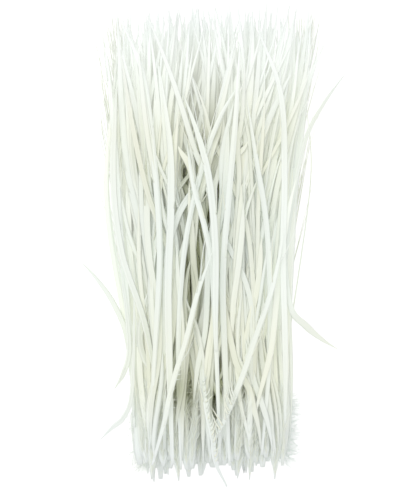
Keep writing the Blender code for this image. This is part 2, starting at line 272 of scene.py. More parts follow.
def giveWay(places):
    path = np.array(places)
    for middleX, middleY, halfLength in partings:
        side = 1.0 if np.interp(middleY, path[:, 1], path[:, 0]) > middleX else -1.0
        near = np.clip(1.0 - np.abs(path[:, 0] - middleX) / parting["reach"], 0.0, 1.0)
        near *= np.exp(-((path[:, 1] - middleY) / halfLength) ** 2)
        path[:, 0] += side * parting["push"] * near
    return [tuple(place) for place in path]


# Painted shade along a strand: darker olive deep in the bunch, in its hollows and below its partings.
def shadeAt(places):
    shade = np.zeros(len(places))
    for i, (x, y, z) in enumerate(places):
        share = shareAt(y)
        half = halfWidth(share)
        off = min(1.0, abs(x - bunch["shiftX"] - centreX(share)) / half)
        top = (depthShade["topLevel"] - depthShade["sideFall"] * off ** 3 + 1.0) * layerPitch(share)
        depth = top - z - depthShade["clearDepth"]
        depth += shadeHollowDepth(x, y)
        depth += partingShadeDepth(x, y) * smooth(depth / parting["shadeDepth"])
        deep = smooth(depth / (depthShade["fullDepth"] - depthShade["clearDepth"]))
        inside = smooth((1.0 - off) * half / depthShade["sideReach"])
        ends = smooth(share / depthShade["quillReach"]) * smooth((1.0 - share) / depthShade["tipReach"])
        shade[i] = deep * inside * ends
    return shade


# Painted glow: where the feathers glow a little, as if light came through them: the bunch's tips and its
# sides.
glowPlaces = {
    "tipStart": 0.62,
    "tipReach": 0.34,
    "endLoss": 0.70,                              # the last ends stand out from the floor again
    "endStart": 0.88,
    "endReach": 0.10,
    "sideStart": 0.60,                            # shares of the half width
    "sideReach": 0.40,
    "sideMost": 0.68,
    "cooling": 0.6,                               # glowing places are less yellow
    "outsideReach": 0.15,
    "rootLoss": 0.75,
    "rootReach": 0.50,
}


def glowAt(places):
    glowing = np.zeros(len(places))
    for i, (x, y) in enumerate(places[:, :2]):
        share = shareAt(y)
        off = abs(x - bunch["shiftX"] - centreX(share)) / halfWidth(share)
        tips = smooth((share - glowPlaces["tipStart"]) / glowPlaces["tipReach"])
        ends = smooth((share - glowPlaces["endStart"]) / glowPlaces["endReach"])
        tips *= 1.0 - glowPlaces["endLoss"] * ends
        sides = glowPlaces["sideMost"] * smooth((off - glowPlaces["sideStart"]) / glowPlaces["sideReach"])
        sides *= 1.0 - smooth((off - 1.0) / glowPlaces["outsideReach"])
        sides *= 1.0 - glowPlaces["rootLoss"] * smooth(1.0 - share / glowPlaces["rootReach"])
        glowing[i] = max(tips, sides)
    return glowing


# A mesh in the making: rings of points along each strand, joined in one piece at the end.
def newBuild(glowing=True):
    build = {"points": [], "faces": [], "looks": [], "across": [], "along": [], "skins": []}
    return {**build, "count": 0, "glowing": glowing}


def addLoft(build, rings, tone, skin, along, across, tipward, dull=0.0):
    rows, around = rings.shape[:2]
    first = build["count"]
    build["points"].append(rings.reshape(-1, 3))
    looks = np.ones((rows, around, 4), np.float32)
    middles = rings.mean(axis=1)
    # The first channel carries the painted shade, or a strand's own dull tone where that is greater; the
    # last carries the painted glow.
    looks[:, :, 0] = np.maximum(shadeAt(middles), dull)[:, None]
    glowing = glowAt(middles)[:, None]
    looks[:, :, 1] = np.array(tone)[..., None] if np.ndim(tone) else tone
    looks[:, :, 1] *= 1.0 - glowPlaces["cooling"] * glowing
    looks[:, :, 2] = np.array(tipward)[:, None]
    looks[:, :, 3] = glowing if build["glowing"] else 0.0
    build["looks"].append(looks.reshape(-1, 4))
    build["along"].append(np.repeat(along, around))
    build["across"].append(np.tile(across, rows))
    for r in range(rows - 1):
        low = first + r * around
        high = low + around
        for k in range(around):
            j = (k + 1) % around
            build["faces"].append((low + k, low + j, high + j, high + k))
    build["faces"].append(tuple(first + k for k in reversed(range(around))))
    build["faces"].append(tuple(first + (rows - 1) * around + k for k in range(around)))
    build["skins"] += [skin] * ((rows - 1) * around + 2)
    build["count"] += rows * around


def sweep(places, halves, heights, rolls, outline):
    path = np.array(places, float)
    run = np.gradient(path, axis=0)
    run /= np.linalg.norm(run, axis=1)[:, None]
    side = np.cross(run, (0.0, 0.0, 1.0))
    side /= np.linalg.norm(side, axis=1)[:, None]
    rise = np.cross(side, run)
    turn = np.array(rolls)[:, None]
    across = side * np.cos(turn) + rise * np.sin(turn)
    up = rise * np.cos(turn) - side * np.sin(turn)
    s = outline[:, 0][None, :, None]
    h = outline[:, 1][None, :, None]
    half = np.array(halves)[:, None, None]
    high = np.array(heights)[:, None, None]
    return path[:, None, :] + across[:, None, :] * half * s + up[:, None, :] * high * h


# Section of a blade: two thin vanes that slope off a rounded shaft, which is off centre.
vaneSection = {
    "shaftWidth": 0.17,
    "shaftHeight": 0.62,
    "vaneHeight": 0.38,
    "underHeight": -0.22,
}


def vaneOutline(shaftPlace, topPoints, underPoints):
    points = []
    for i in range(topPoints):
        s = -1.0 + 2.0 * i / (topPoints - 1)
        reach = 1.0 + shaftPlace if s < shaftPlace else 1.0 - shaftPlace
        slope = 1.0 - abs(s - shaftPlace) / reach
        shaft = math.exp(-(((s - shaftPlace) / vaneSection["shaftWidth"]) ** 2))
        points.append((s, vaneSection["vaneHeight"] * slope + vaneSection["shaftHeight"] * shaft))
    for i in range(1, underPoints + 1):
        s = 1.0 - 2.0 * i / (underPoints + 1)
        points.append((s, vaneSection["underHeight"] * (1.0 - s * s)))
    return np.array(points)


def roundOutline(count):
    turns = [2.0 * math.pi * i / count for i in range(count)]
    return np.array([(math.cos(a), math.sin(a)) for a in turns])


# Where the webbed quill end of a blade flares out, in shares of its length.
flarePlace = {"middle": 0.075, "reach": 0.055}


# A strand's width along its length: a wedge at the quill, full in the middle, a point at the tip.
def bodyShare(t, shape):
    fromTip = min(1.0, (1.0 - t) / shape["tipLength"])
    body = shape["tipShare"] + (1.0 - shape["tipShare"]) * fromTip * (2.0 - fromTip)
    root = shape["quillShare"] + (1.0 - shape["quillShare"]) * min(1.0, t / shape["quillLength"])
    flare = shape.get("flare", 0.0) * math.exp(-(((t - flarePlace["middle"]) / flarePlace["reach"]) ** 2))
    return body * root * (1.0 + flare)


# The bunch is a little warmer in two bands across it and cooler between them.
warmBands = {"amount": 0.24, "middle": 0.76, "apart": 0.50}


def warmBand(share):
    return math.cos(math.tau * (share - warmBands["middle"]) / warmBands["apart"])


# What all strands have: flatter ends, a twist about one place and a shaft off the middle.
strandSection = {
    "endHeight": 0.35,
    "twistPlace": 0.4,
    "shaftPlaces": (0.15, 0.65),                  # shares of the half width, to either side
    "dullPower": 1.5,                             # few strands are as dull as they may be
}


def addStrand(build, places, width, shape, roll, draw):
    count = len(places)
    bodies = [bodyShare(i / (count - 1), shape) for i in range(count)]
    halves = [width / 2.0 * body for body in bodies]
    flat = strandSection["endHeight"]
    heights = [shape["height"] * (flat + (1.0 - flat) * body) for body in bodies]
    rolls = [roll + shape["twist"] * (i / (count - 1) - strandSection["twistPlace"]) for i in range(count)]
    shaftPlace = draw.choice((-1.0, 1.0)) * draw.uniform(*strandSection["shaftPlaces"])
    outline = vaneOutline(shaftPlace, shape["topPoints"], shape["underPoints"])
    rings = sweep(places, halves, heights, rolls, outline)
    along = np.array([place[1] for place in places])
    tipward = [tipwardAt(y) for y in along]
    dull = shape["dull"] * draw.random() ** strandSection["dullPower"]
    warmth = shape["warmth"] * draw.random()
    tone = [min(1.0, max(0.0, warmth + warmBands["amount"] * warmBand(share))) for share in tipward]
    addLoft(build, rings, tone, 0, along, outline[:, 0], tipward, dull)
    return halves


# How strands run in the bunch: where they bend, fork and rise, and how their small waves go.
strandRun = {
    "bendReach": 0.22,                            # a lean bends a strand over this share of the bunch
    "leanTries": (1.0, -1.0, 0.5, -0.5, 0.2, 0.0),
    "sideRoom": 0.97,                             # strands stay within this share of the half width
    "leastFork": 0.05,                            # share of the bunch over which the tips fork
    "riseStart": 0.2,
    "riseReach": 0.2,                             # share of the strand over which it rises
    "waveUp": 0.5,                                # shares of a strand's own wave ...
    "waveAside": 1.6,
    "turnUp": 9.0,                                # ... and how far the waves turn, in radians
    "turnAside": 7.0,
}


# A strand's lean bends it aside above its pivot; the whole strand may also lie tilted.
def leanOffset(route, share):
    past = max(0.0, share - route["pivot"])
    bent = math.tan(route["lean"]) * past * smooth(past / strandRun["bendReach"])
    return bunchLength * (bent + math.tan(route["tilt"]) * (share - 0.5))


# The lean and tilt as drawn, or turned back or lessened until the strand stays in the bunch.
def fitInBunch(lock, route):
    lean, tilt = route["lean"], route["tilt"]
    for factor in strandRun["leanTries"]:
        route["lean"], route["tilt"] = lean * factor, tilt * abs(factor)
        inside = True
        for share in (route["quill"], (route["quill"] + route["tip"]) / 2.0, route["tip"]):
            x = sheetX(lock["layer"], route["across"], share) + leanOffset(route, share)
            inside = inside and abs(x - centreX(share)) < halfWidth(share) * strandRun["sideRoom"]
        if inside:
            return


# Where a strand of a lock runs: in its lane of the sheet, with its own lean, bow and rise.
def strandPlaces(lock, route, rows):
    places = []
    forked = max(strandRun["leastFork"], route["tip"] - bunch["tipFork"])
    for i in range(rows):
        t = i / (rows - 1)
        share = route["quill"] + (route["tip"] - route["quill"]) * t
        bend = min(1.0, max(0.0, share - bunch["tipFork"]) / forked) ** 2
        x = sheetX(lock["layer"], route["across"] + route["drift"] * bend, share)
        z = sheetZ(lock["level"], x, share) + route["lift"] * bend
        x += leanOffset(route, share) + route["bow"] * math.sin(math.pi * t)
        risen = smooth(strandRun["riseStart"] + t / strandRun["riseReach"])
        z += route["rise"] * risen + route["climb"] * t
        z += strandRun["waveUp"] * route["wave"] * math.cos(route["turn"] + strandRun["turnUp"] * t)
        x += strandRun["waveAside"] * route["wave"] * math.sin(route["turn"] + strandRun["turnAside"] * t)
        places.append((x + bunch["shiftX"], placeY(share), z))
    return giveWay(places) if lock["level"] >= parting["firstLevel"] else places


# Main blades: one for each feather of a lock, as wide as a share of its lane.
mainBlade = {
    "rows": 44,
    "lowRows": 30,                                # for the hidden layers
    "lowLayers": 5,
    "widths": (0.66, 1.42),                       # shares of the lane
    "topWidth": 0.80,                             # the uppermost blades are this much of it
    "wedgeEnd": 0.062,                            # where a low quill's wedge is as wide as its blade
    "wedgeDrop": 0.62,                            # low quills hang out this much lower
    "skirtStart": 0.032,                          # quills above this end in a round soft edge
    "skirtWedge": 0.014,
    "skirtShare": 0.50,
    "skirtShares": (0.6, 1.3),
    "wedgeShares": (0.6, 2.6),
    "edgeStart": 0.50,                            # beyond this share of the half width ...
    "edgeWidth": 0.85,                            # ... blades narrow to this share
    "edgeTip": 0.32,                              # ... and their tips grow longer by this
    "roll": 0.17,
    "spareRoll": 0.2,                             # the lowest blades rise by their roll and this
    "mostRoll": 1.2,
    "leastRise": 0.00015,
    "wave": 0.00045,
    "lean": 0.030,
    "topLean": 0.065,                             # for the uppermost layers
    "topLayers": 7,
    "pivot": 0.42,
    "tilt": 0.014,
    "bow": 0.0022,
    "climb": 0.0008,
    "shape": {
        "tipShare": 0.04, "tipLength": 0.25, "quillShare": 0.20, "flare": 0.45,
        "height": 0.00034, "twist": 0.20, "topPoints": 9, "underPoints": 5, "dull": 0.16, "warmth": 0.8,
    },
    "lowShape": {
        "tipShare": 0.06, "tipLength": 0.16, "quillShare": 0.20, "flare": 0.35,
        "height": 0.00034, "twist": 0.20, "topPoints": 9, "underPoints": 5, "dull": 0.10, "warmth": 0.8,
    },
}


def edgeShare(across):
    return smooth((abs(across) - mainBlade["edgeStart"]) / (1.0 - mainBlade["edgeStart"]))


def addMainBlade(build, lock, feather, draw):
    laneWidth = (feather["right"] - feather["left"]) * halfWidth(0.5)
    top = lock["level"] >= mainBlade["topLayers"]
    width = laneWidth * draw.uniform(*mainBlade["widths"])
    width *= mainBlade["topWidth"] if top else 1.0
    roll = draw.gauss(0.0, mainBlade["roll"])
    reach = width / 2.0 * math.sin(min(mainBlade["mostRoll"], abs(roll) + mainBlade["spareRoll"]))
    lean = mainBlade["topLean" if top else "lean"]
    skirt = feather["quill"] > mainBlade["skirtStart"]
    route = {
        "across": (feather["left"] + feather["right"]) / 2.0,
        "quill": feather["quill"] * (1.0 if skirt else mainBlade["wedgeDrop"]),
        "tip": feather["tip"],
        "drift": feather["drift"],
        "lift": feather["lift"],
        "lean": draw.gauss(lock["lean"], lean),
        "pivot": mainBlade["pivot"],
        "tilt": draw.gauss(lock["tilt"], mainBlade["tilt"]),
        "bow": draw.gauss(0.0, mainBlade["bow"]),
        "rise": mainBlade["leastRise"] + (reach if lock["level"] == 0 else 0.0),
        "climb": draw.uniform(0.0, mainBlade["climb"]),
        "wave": mainBlade["wave"],
        "turn": draw.uniform(0.0, math.tau),
    }
    fitInBunch(lock, route)
    low = lock["level"] < mainBlade["lowLayers"]
    rows = mainBlade["lowRows"] if low else mainBlade["rows"]
    shape = mainBlade["lowShape" if low else "shape"]
    places = strandPlaces(lock, route, rows)
    edge = edgeShare(route["across"])
    width *= 1.0 - (1.0 - mainBlade["edgeWidth"]) * edge
    if skirt:
        wedge = mainBlade["skirtWedge"]
        quillShare = mainBlade["skirtShare"] * draw.uniform(*mainBlade["skirtShares"])
    else:
        wedge = mainBlade["wedgeEnd"] - route["quill"]
        quillShare = shape["quillShare"] * draw.uniform(*mainBlade["wedgeShares"])
    shape = {
        **shape,
        "quillShare": quillShare,
        "quillLength": wedge / (route["tip"] - route["quill"]),
        "tipLength": shape["tipLength"] + mainBlade["edgeTip"] * edge,
    }
    halves = addStrand(build, places, width, shape, roll, draw)
    return places, halves


# What the routes of slim and crossing strands have in common.
def drawRoute(plan, tilt, draw):
    return {
        "pivot": draw.uniform(*plan["pivots"]),
        "tilt": draw.gauss(tilt, plan["tilt"]),
        "bow": draw.gauss(0.0, plan["bow"]),
        "rise": plan["rise"] * draw.uniform(*plan["rises"]),
        "climb": draw.uniform(0.0, plan["climb"]),
        "wave": plan["wave"],
        "turn": draw.uniform(0.0, math.tau),
    }


# Slim strands: narrower blades between the main ones, which drift across their neighbours.
slimStrand = {
    "rows": 34,
    "perBlade": 2,
    "perSideBlade": 1,
    "widths": (0.0007, 0.0024),
    "edgeLoss": 0.4,
    "edgeTip": 0.3,
    "tipShift": (-0.10, 0.06),
    "highestTip": 0.995,
    "quillShift": 0.10,
    "pivots": (0.25, 0.60),
    "lean": 0.080,
    "tilt": 0.040,
    "bow": 0.0026,
    "wave": 0.00035,
    "rise": 0.0006,
    "rises": (0.5, 1.5),
    "climb": 0.0010,
    "lowestQuill": 0.075,
    "roll": 0.22,
    "shape": {
        "tipShare": 0.06, "tipLength": 0.30, "quillShare": 0.10, "quillLength": 0.22,
        "height": 0.00032, "twist": 0.2, "topPoints": 5, "underPoints": 1, "dull": 0.16, "warmth": 0.8,
    },
}


def addSlimStrand(build, lock, feather, draw):
    tip = feather["tip"] + draw.uniform(*slimStrand["tipShift"])
    across = draw.uniform(feather["left"], feather["right"])
    quill = feather["quill"] + draw.uniform(0.0, slimStrand["quillShift"])
    route = {
        "across": across,
        "quill": max(slimStrand["lowestQuill"], quill),
        "tip": min(slimStrand["highestTip"], tip),
        "drift": feather["drift"],
        "lift": feather["lift"],
        "lean": draw.gauss(lock["lean"], slimStrand["lean"]),
        **drawRoute(slimStrand, lock["tilt"], draw),
    }
    fitInBunch(lock, route)
    places = strandPlaces(lock, route, slimStrand["rows"])
    edge = edgeShare(route["across"])
    width = draw.uniform(*slimStrand["widths"]) * (1.0 - slimStrand["edgeLoss"] * edge)
    shape = dict(slimStrand["shape"])
    shape["tipLength"] += slimStrand["edgeTip"] * edge
    addStrand(build, places, width, shape, draw.gauss(0.0, slimStrand["roll"]), draw)


# Crossing strands: shorter feathers that lie aslant on the upper layers and end in mid bunch.
crossStrand = {
    "rows": 40,
    "perLock": 7,
    "perSideLock": 4,
    "firstLevel": 5,
    "widths": (0.0014, 0.0027),
    "shortTips": (0.38, 0.80),
    "longTips": (0.80, 0.985),
    "shortOnes": 0.5,                             # share of them that end in mid bunch
    "meanLean": 0.035,                            # a few more lean right than left
    "lean": 0.150,
    "mostLean": 0.280,
    "pivots": (0.22, 0.50),
    "tilt": 0.055,
    "bow": 0.0030,
    "wave": 0.00030,
    "rise": 0.0009,
    "rises": (0.6, 1.4),
    "climb": 0.0022,
    "lowestQuill": 0.080,
    "quillSpread": 0.14,
    "roll": 0.25,
    "shape": {
        "tipShare": 0.04, "tipLength": 0.28, "quillShare": 0.10, "quillLength": 0.25,
        "height": 0.00040, "twist": 0.3, "topPoints": 7, "underPoints": 3, "dull": 0.18, "warmth": 0.8,
    },
}


def addCrossStrand(build, lock, draw):
    feather = draw.choice(lock["feathers"])
    short = draw.random() < crossStrand["shortOnes"]
    tip = draw.uniform(*crossStrand["shortTips" if short else "longTips"])
    lean = draw.gauss(crossStrand["meanLean"], crossStrand["lean"])
    route = {
        "across": draw.uniform(feather["left"], feather["right"]),
        "quill": crossStrand["lowestQuill"] + draw.uniform(0.0, crossStrand["quillSpread"]),
        "tip": tip,
        "drift": 0.0,
        "lift": feather["lift"],
        "lean": max(-crossStrand["mostLean"], min(crossStrand["mostLean"], lean)),
        **drawRoute(crossStrand, 0.0, draw),
    }
    fitInBunch(lock, route)
    places = strandPlaces(lock, route, crossStrand["rows"])
    width = draw.uniform(*crossStrand["widths"])
    roll = draw.gauss(0.0, crossStrand["roll"])
    halves = addStrand(build, places, width, crossStrand["shape"], roll, draw)
    return places, halves


# Short strands of the upper layers: some rise from the foot of the cleft and spread to both
# sides, others lean across the middle, and those at the sides lean inwards. Places across are
# shares of the half width, quills and tips are shares of the length.
shortStrand = {
    "rows": 26,
    "widths": (0.0012, 0.0026),
    "bow": 0.0010,
    "climb": 0.0008,
    "roll": 0.2,
    "pivot": 0.05,                                # how far above its quill a strand starts to lean
}
shortGroups = (
    {
        "firstLevel": 6, "perLock": 3, "leftLock": -0.42, "rightLock": 0.42,
        "left": -0.16, "right": 0.17, "quills": (0.045, 0.085), "tips": (0.24, 0.42),
        "leans": (0.02, 0.17), "sides": (-1.0, 1.0), "rises": (0.0002, 0.0012),
    },
    {
        "firstLevel": 6, "perLock": 6, "leftLock": -0.52, "rightLock": 0.60,
        "left": -0.46, "right": 0.52, "quills": (0.10, 0.30), "tips": (0.42, 0.66),
        "leans": (0.06, 0.22), "sides": (1.0,), "rises": (0.0012, 0.0028),
    },
    {
        "firstLevel": 6, "perLock": 4, "leftLock": -0.60, "rightLock": 0.60,
        "left": -0.50, "right": 0.50, "quills": (0.40, 0.58), "tips": (0.68, 0.90),
        "leans": (0.04, 0.24), "sides": (1.0, 1.0, -1.0), "rises": (0.0010, 0.0024),
    },
    {
        "firstLevel": 4, "perLock": 4, "leftLock": 0.30, "rightLock": 1.0,
        "left": 0.34, "right": 0.94, "quills": (0.045, 0.090), "tips": (0.28, 0.46),
        "leans": (0.06, 0.22), "sides": (-1.0,), "rises": (0.0008, 0.0020),
    },
    {
        "firstLevel": 4, "perLock": 4, "leftLock": -1.0, "rightLock": -0.30,
        "left": -0.94, "right": -0.34, "quills": (0.045, 0.090), "tips": (0.28, 0.46),
        "leans": (0.06, 0.22), "sides": (1.0,), "rises": (0.0008, 0.0020),
    },
)


def addShortStrand(build, lock, group, draw):
    quill = draw.uniform(*group["quills"])
    route = {
        "across": draw.uniform(group["left"], group["right"]),
        "quill": quill,
        "tip": draw.uniform(*group["tips"]),
        "drift": 0.0,
        "lift": 0.0,
        "lean": draw.choice(group["sides"]) * draw.uniform(*group["leans"]),
        "pivot": max(shortStrand["pivot"], quill - shortStrand["pivot"]),
        "tilt": 0.0,
        "bow": draw.gauss(0.0, shortStrand["bow"]),
        "rise": draw.uniform(*group["rises"]),
        "climb": shortStrand["climb"],
        "wave": crossStrand["wave"],
        "turn": draw.uniform(0.0, math.tau),
    }
    fitInBunch(lock, route)
    places = strandPlaces(lock, route, shortStrand["rows"])
    width = draw.uniform(*shortStrand["widths"])
    addStrand(build, places, width, crossStrand["shape"], draw.gauss(0.0, shortStrand["roll"]), draw)


# Slivers: fine barbs, straight or curved, three-sided and flatter than wide.
sliver = {
    "sides": 3,
    "climb": 0.04,
    "taper": 0.92,
    "taperPower": 1.5,
    "flatness": 0.6,
}


def addSliver(build, start, heading, bend, length, width, tone, skin, rows, tipward,
              climb=sliver["climb"], dull=0.0):
    outline = roundOutline(sliver["sides"])
    places, halves, along = [], [], []
    for i in range(rows):
        t = i / (rows - 1)
        turned = heading + bend * t
        places.append((
            start[0] + length * t * math.sin(turned),
            start[1] + length * t * math.cos(turned),
            start[2] + climb * length * t * (1.0 - t),
        ))
        halves.append(width / 2.0 * (1.0 - sliver["taper"] * t ** sliver["taperPower"]))
        along.append(length * t)
    heights = [sliver["flatness"] * half for half in halves]
    rings = sweep(places, halves, heights, [0.0] * rows, outline)
    addLoft(build, rings, tone, skin, np.array(along), outline[:, 0], [tipward] * rows, dull)


# Side barbs: short fine slivers that leave a blade's edge near its tip.
sideBarb = {
    "rows": 7,
    "perBlade": 4,
    "places": (0.45, 0.93),
    "lengths": (0.006, 0.024),
    "least": 0.003,
    "topRoom": 0.97,
    "width": 0.00045,
    "widths": (0.6, 1.3),
    "edge": 0.7,                                  # they leave the blade at this share of its half width
    "lift": 0.0001,
    "spread": 0.17,
    "bend": -0.4,
}


def addSideBarbs(build, places, halves, draw):
    for _ in range(sideBarb["perBlade"]):
        t = draw.uniform(*sideBarb["places"])
        i = int(t * (len(places) - 2))
        run = Vector(places[i + 1]) - Vector(places[i])
        heading = math.atan2(run.x, run.y)
        side = draw.choice((-1.0, 1.0))
        x, y, z = places[i]
        length = min(draw.uniform(*sideBarb["lengths"]), (cadHigh[1] - y) * sideBarb["topRoom"])
        if length < sideBarb["least"]:
            continue
        start = (x + side * halves[i] * sideBarb["edge"], y, z + sideBarb["lift"])
        turn = side * abs(draw.gauss(0.0, sideBarb["spread"]))
        width = sideBarb["width"] * draw.uniform(*sideBarb["widths"])
        addSliver(build, start, heading + turn, sideBarb["bend"] * turn, length, width, draw.random(), 0,
                  sideBarb["rows"], tipwardAt(y))


# The side that a lock lies on, and its outer edge there in shares of the half width.
def outerEdge(lock):
    if lock["middle"] > 0.0:
        return 1.0, lock["feathers"][-1]["right"]
    return -1.0, lock["feathers"][0]["left"]


# Fringe: long fine barbs that stand off from the sides of the lower layers.
fringe = {
    "perLock": 46,
    "rows": 11,
    "shares": (0.34, 0.88),
    "edges": (0.86, 1.0),
    "lift": 0.0003,
    "lengths": (0.018, 0.062),
    "least": 0.009,
    "width": 0.00050,
    "widths": (0.6, 1.5),
    "dull": 0.30,
    "turns": (0.02, 0.26),
    "bends": (-0.10, 0.05),
    "sideRoom": 0.0008,
    "topRoom": 0.98,
}


def addFringe(build, lock, draw):
    side, edge = outerEdge(lock)
    for _ in range(fringe["perLock"]):
        share = draw.uniform(*fringe["shares"])
        x = sheetX(lock["layer"], edge * draw.uniform(*fringe["edges"]), share)
        z = sheetZ(lock["level"], x, share) + fringe["lift"]
        y = placeY(share)
        x += bunch["shiftX"]
        limit = (cadHigh[0] if side > 0.0 else -cadLow[0]) - fringe["sideRoom"]
        turn = draw.uniform(*fringe["turns"])
        length = draw.uniform(*fringe["lengths"])
        length = min(length, (limit - side * x) / math.sin(turn), (cadHigh[1] - y) * fringe["topRoom"])
        if length < fringe["least"]:
            continue
        bend = draw.uniform(*fringe["bends"]) * side
        width = fringe["width"] * draw.uniform(*fringe["widths"])
        addSliver(build, (x, y, z), side * turn, bend, length, width, draw.random(), 0,
                  fringe["rows"], tipwardAt(y), 0.0, fringe["dull"])


# Cloud: soft barbs that stand off all round the corner of the quills on the right, and
# lie closer in along the lower left side.
cloud = {
    "rows": 6,
    "inset": 0.20,
    "thick": 0.0016,
    "bend": 0.6,
    "width": 0.00024,
    "bottomRoom": 0.9,
    "right": {
        "perLock": 130, "shares": (0.05, 0.18), "turns": (0.9, 2.7), "lengths": (0.0030, 0.0090),
        "dull": 0.12,
    },
    "left": {
        "perLock": 150, "shares": (0.04, 0.34), "turns": (2.3, 2.95), "lengths": (0.0040, 0.0110),
        "dull": 0.34,
    },
}


def addCloud(build, lock, draw):
    side, edge = outerEdge(lock)
    plan = cloud["right" if side > 0.0 else "left"]
    for _ in range(plan["perLock"]):
        share = draw.uniform(*plan["shares"])
        x = sheetX(lock["layer"], edge * (1.0 - cloud["inset"] * draw.random()), share)
        z = sheetZ(lock["level"], x, share) + draw.uniform(0.0, cloud["thick"])
        y = placeY(share)
        turn = side * draw.uniform(*plan["turns"])
        length = min(draw.uniform(*plan["lengths"]), cloud["bottomRoom"] * (y - cadLow[1]))
        addSliver(build, (x + bunch["shiftX"], y, z), turn, draw.uniform(-1.0, 1.0) * cloud["bend"],
                  length, cloud["width"], draw.random(), 1, cloud["rows"], 0.0, 0.0, plan["dull"])


# Down: rows of fine soft barbs on both sides of each quill.
down = {
    "rows": 5,
    "spacing": 0.00042,
    "lowSpacing": 0.0016,                         # for the hidden layers
    "lowLayers": 5,
    "from": 0.012,
    "to": 0.21,
    "shortFirst": 0.09,                           # the rows end at different shares
    "shortest": 0.0020,
    "longest": 0.0085,
    "width": 0.00024,
    "angle": 0.26,
    "spread": 0.16,
    "lift": 0.0003,
    "topLift": 0.0013,
}


# What all rows of barbs have: lengths that swell to the middle of the row, and their spreads.
barbRow = {
    "swellPower": 0.6,
    "lengths": (0.7, 1.15),
    "sink": -0.0001,
    "bends": (-0.6, 0.2),
    "widths": (0.8, 1.2),
    "steps": (0.7, 1.3),
    "tipward": 0.3,
}


def addBarbRow(build, places, plan, sides, draw):
    path = np.array(places)
    steps = np.linalg.norm(np.diff(path, axis=0), axis=1)
    length = np.concatenate(([0.0], np.cumsum(steps)))
    first, last = plan["from"] * length[-1], plan["to"] * length[-1]
    at = first
    while at < last:
        start = [np.interp(at, length, path[:, axis]) for axis in range(3)]
        i = min(len(path) - 2, int(np.searchsorted(length, at)))
        run = path[i + 1] - path[i]
        heading = math.atan2(run[0], run[1])
        swell = math.sin(math.pi * (at - first) / (last - first)) ** barbRow["swellPower"]
        for side in sides:
            barb = plan["shortest"] + (plan["longest"] - plan["shortest"]) * swell
            barb *= draw.uniform(*barbRow["lengths"])
            turn = side * (plan["angle"] + draw.gauss(0.0, plan["spread"]))
            start[2] += draw.uniform(plan.get("leastLift", barbRow["sink"]), plan["lift"])
            addSliver(build, start, heading + turn, side * draw.uniform(*barbRow["bends"]), barb,
                      plan["width"] * draw.uniform(*barbRow["widths"]), draw.random(),
                      plan.get("skin", 1), plan["rows"], barbRow["tipward"])
        at += plan["spacing"] * draw.uniform(*barbRow["steps"])


# Tufts: fine pale barbs that lie over the dark hollow at the left of the quills.
tuft = {
    "firstLevel": 6,
    "atY": -0.0580,                               # blades get them whose X is in range here
    "left": -0.0200,
    "right": -0.0060,
    "rows": 6,
    "spacing": 0.0007,
    "from": 0.10,
    "to": 0.27,
    "shortest": 0.0015,
    "longest": 0.0042,
    "width": 0.00026,
    "angle": 0.75,
    "spread": 0.45,
    "lift": 0.0012,
    "skin": 0,
}


def addTuft(build, places, draw):
    x = np.interp(tuft["atY"], [place[1] for place in places], [place[0] for place in places])
    if tuft["left"] < x < tuft["right"]:
        addBarbRow(build, places, tuft, (-1.0, 1.0), draw)


def addDown(build, lock, places, draw):
    plan = dict(down)
    plan["to"] = draw.uniform(down["shortFirst"], down["to"])
    if lock["level"] < down["lowLayers"]:
        plan["spacing"] = down["lowSpacing"]
    else:
        plan["lift"] = down["topLift"]
    addBarbRow(build, places, plan, (-1.0, 1.0), draw)


lowestPoint = 0.00002                             # no point of the bunch goes below this height
trianglesMade = []


def makePiece(name, build, materials):
    mesh = bpy.data.meshes.new(name)
    points = np.concatenate(build["points"])
    points[:, 2] = np.maximum(points[:, 2], lowestPoint)
    mesh.from_pydata(points.tolist(), [], build["faces"])
    looks = mesh.attributes.new("bladeLook", "FLOAT_COLOR", "POINT")
    looks.data.foreach_set("color", np.concatenate(build["looks"]).ravel())
    grain = mesh.uv_layers.new(name="bladeGrain")
    corners = np.zeros(len(mesh.loops), np.int32)
    mesh.loops.foreach_get("vertex_index", corners)
    across = np.concatenate(build["across"])[corners]
    along = np.concatenate(build["along"])[corners]
    grain.data.foreach_set("uv", np.stack((across, along), axis=1).astype(np.float32).ravel())
    mesh.polygons.foreach_set("material_index", np.array(build["skins"], np.int32))
    mesh.shade_smooth()
    for material in materials:
        mesh.materials.append(material)
    mesh.validate()
    trianglesMade.append(sum(len(face) - 2 for face in build["faces"]))
    piece = bpy.data.objects.new(name, mesh)
    bpy.context.scene.collection.objects.link(piece)
    return piece


# Puts a node in a tree, sets it up and gives its sockets their values or their links.
def addNode(tree, kind, sockets, **settings):
    node = tree.nodes.new(kind)
    for setting, value in settings.items():
        setattr(node, setting, value)
    for socket, value in sockets.items():
        if isinstance(value, bpy.types.NodeSocket):
            tree.links.new(value, node.inputs[socket])
        else:
            node.inputs[socket].default_value = value
    return node


# Sockets 6 and 7 of a Mix node are its two colours, and its output 2 is their mixture.
def mixColour(tree, factor, first, second):
    sockets = {"Factor": factor, 6: first, 7: second}
    return addNode(tree, "ShaderNodeMix", sockets, data_type="RGBA").outputs[2]


def newGroup(name, numbers, colours, numbersOut, coloursOut):
    group = bpy.data.node_groups.new(name, "ShaderNodeTree")
    for kind, inputs, outputs in (("Color", colours, coloursOut), ("Float", numbers, numbersOut)):
        for socket, value in inputs.items():
            made = group.interface.new_socket(socket, in_out="INPUT", socket_type="NodeSocket" + kind)
            made.default_value = value
        for socket in outputs:
            group.interface.new_socket(socket, in_out="OUTPUT", socket_type="NodeSocket" + kind)
    return group, group.nodes.new("NodeGroupInput").outputs


# Shared effect: fine lines along a blade, as colour mask and height.
fineGrain = {"linesAcross": 6.0, "linesAlong": 60.0, "seedSpread": 37.0, "detail": 3.0}


